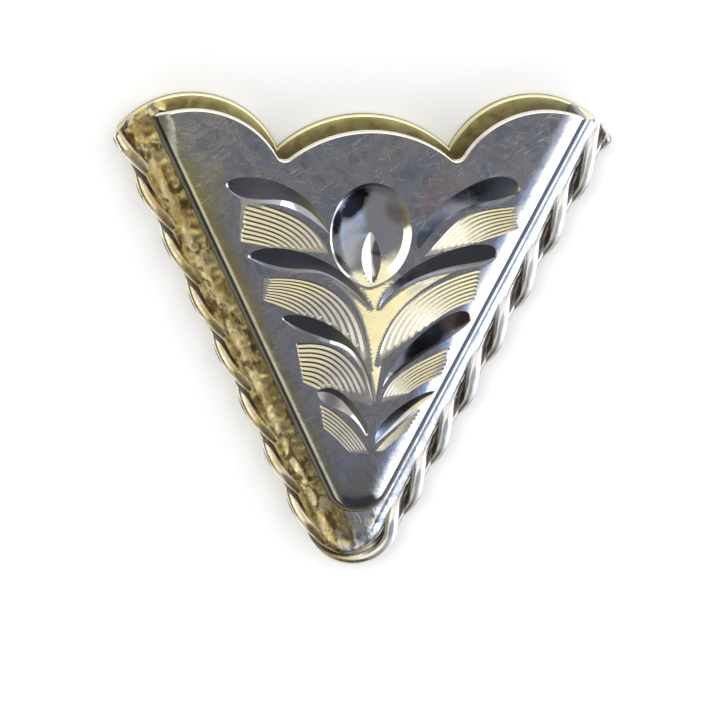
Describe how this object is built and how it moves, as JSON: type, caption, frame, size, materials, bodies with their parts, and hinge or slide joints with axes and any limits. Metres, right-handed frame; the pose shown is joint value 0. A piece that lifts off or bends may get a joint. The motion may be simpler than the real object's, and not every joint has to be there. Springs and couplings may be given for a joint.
{
  "type": "collar tip",
  "caption": "Hollow engraved metal cap with a scalloped mouth and a twisted wire edge that slides over the point of a shirt collar.",
  "frame": {"origin": "on the surface that it lies on, under the middle of the outline", "axes": "+Z out of the engraved face, +Y out of the mouth that takes the collar point, so the tip points along -Y, and +X to the right seen from the face"},
  "size_m": [0.0384, 0.0392, 0.0057],
  "materials": {
    "plate_metal": "yellowed nickel silver, satin inside, with solder marks and tarnish at the edges",
    "face_metal": "polished silver with bright-cut engraving, fine scratches and tarnish in the cuts",
    "rope_metal": "polished silver wire with dark tarnish between the strands"
  },
  "bodies": {
    "root": {"back_plate": "plate_metal", "front_shell": "face_metal", "rope_edge": "rope_metal"}
  },
  "joints": []
}
